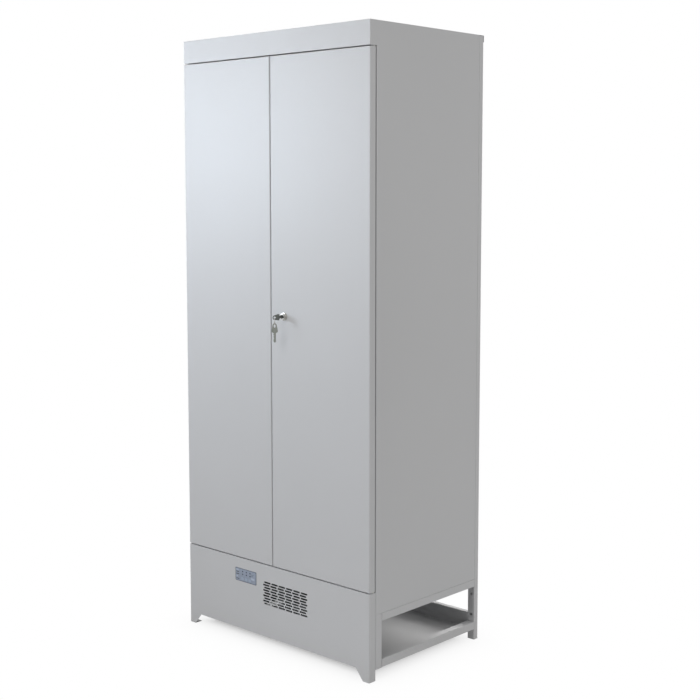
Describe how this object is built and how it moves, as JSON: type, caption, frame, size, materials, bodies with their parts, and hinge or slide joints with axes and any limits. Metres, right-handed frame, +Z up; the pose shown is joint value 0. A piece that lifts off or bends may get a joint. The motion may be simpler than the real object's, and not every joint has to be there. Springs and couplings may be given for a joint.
{
  "type": "drying cabinet",
  "caption": "Free-standing two-door cabinet of folded sheet steel that dries hung clothes and boots with fan-blown warm air.",
  "frame": {"origin": "on the floor, under the middle of the overall box, which takes in the key and the roof's rear lip", "axes": "+X to the cabinet's right seen from the front, +Y from the doors to the back, +Z up"},
  "size_m": [0.8, 0.5705, 1.918],
  "materials": {
    "casing_paint": "satin",
    "galvanised": "satin",
    "chromed": "polished",
    "heater_steel": "matt",
    "dark_plastic": "matt",
    "bush_plastic": "matt",
    "stop_rubber": "matt",
    "panel_film": "satin",
    "key_film": "satin",
    "lamp_lens": "gloss",
    "circuit_board": "satin"
  },
  "bodies": {
    "cabinet": {"left_side_panel": "casing_paint", "right_side_panel": "casing_paint", "roof_panel": "casing_paint", "header_panel": "casing_paint", "back_panel": "casing_paint", "plinth_panel": "casing_paint", "left_front_leg": "casing_paint", "right_front_leg": "casing_paint", "left_rear_post": "casing_paint", "right_rear_post": "casing_paint", "left_upper_rail": "casing_paint", "right_upper_rail": "casing_paint", "left_lower_rail": "casing_paint", "right_lower_rail": "casing_paint", "rear_lower_rail": "casing_paint", "bottom_pan": "casing_paint", "chamber_floor": "casing_paint", "warm_air_diffuser": "casing_paint", "heater_housing": "galvanised", "heating_element": "heater_steel", "thermal_cutout": "dark_plastic", "fan_bracket": "galvanised", "intake_duct": "dark_plastic", "fan_frame": "dark_plastic", "fan_motor": "dark_plastic", "control_box": "galvanised", "control_board": "circuit_board", "control_panel": "panel_film", "status_lamps": "lamp_lens", "cable_gland": "dark_plastic", "hat_shelf": "casing_paint", "shelf_brackets": "galvanised", "hanging_rail": "chromed", "rail_sockets": "chromed", "hook_strip": "galvanised", "coat_hooks": "chromed", "boot_rack": "galvanised", "rack_brackets": "galvanised", "exhaust_collar": "galvanised", "hinge_pins": "chromed", "door_stops": "stop_rubber"},
    "left_door": {"left_door": "casing_paint", "left_door_liner": "casing_paint", "left_door_bushes": "bush_plastic", "bolt_guides": "galvanised"},
    "right_door": {"right_door": "casing_paint", "right_door_liner": "casing_paint", "right_door_bushes": "bush_plastic", "lock_body": "chromed"},
    "lock": {"lock_core": "chromed", "lock_cam": "galvanised", "door_key": "chromed", "key_ring": "chromed"},
    "spare_key": {"spare_key": "chromed"},
    "upper_bolt": {"upper_bolt": "chromed"},
    "lower_bolt": {"lower_bolt": "chromed"},
    "fan_impeller": {"fan_impeller": "dark_plastic"},
    "left_key": {"left_key": "key_film"},
    "middle_key": {"middle_key": "key_film"},
    "right_key": {"right_key": "key_film"}
  },
  "joints": [
    {"name": "left_door_hinge", "type": "hinge", "parent": "cabinet", "child": "left_door", "pos_m": [-0.394, -0.21725, 1.0475], "axis": [0, 0, -1], "range_deg": [0, 105]},
    {"name": "right_door_hinge", "type": "hinge", "parent": "cabinet", "child": "right_door", "pos_m": [0.394, -0.21725, 1.0475], "axis": [0, 0, 1], "range_deg": [0, 105]},
    {"name": "lock_turn", "type": "hinge", "parent": "right_door", "child": "lock", "pos_m": [0.0545, -0.23625, 1.05], "axis": [0, 1, 0], "range_deg": [0, 90]},
    {"name": "spare_key_swing", "type": "hinge", "parent": "lock", "child": "spare_key", "pos_m": [0.053, -0.27725, 1.02745], "axis": [0, 1, 0], "range_deg": [-90, 0]},
    {"name": "upper_bolt_slide", "type": "slide", "parent": "left_door", "child": "upper_bolt", "axis": [0, 0, 1], "range_m": [0, 0.016]},
    {"name": "lower_bolt_slide", "type": "slide", "parent": "left_door", "child": "lower_bolt", "axis": [0, 0, -1], "range_m": [0, 0.016]},
    {"name": "fan_spin", "type": "hinge", "parent": "cabinet", "child": "fan_impeller", "pos_m": [0.05, -0.15525, 0.1968], "axis": [0, 1, 0], "continuous": true},
    {"name": "left_key_press", "type": "slide", "parent": "cabinet", "child": "left_key", "axis": [0, 1, 0], "range_m": [0, 0.0005], "stiffness_N_per_m": 400},
    {"name": "middle_key_press", "type": "slide", "parent": "cabinet", "child": "middle_key", "axis": [0, 1, 0], "range_m": [0, 0.0005], "stiffness_N_per_m": 400},
    {"name": "right_key_press", "type": "slide", "parent": "cabinet", "child": "right_key", "axis": [0, 1, 0], "range_m": [0, 0.0005], "stiffness_N_per_m": 400}
  ],
  "couplings": [
    {"joint": "spare_key_swing", "follows": "lock_turn", "ratio": -1}
  ]
}
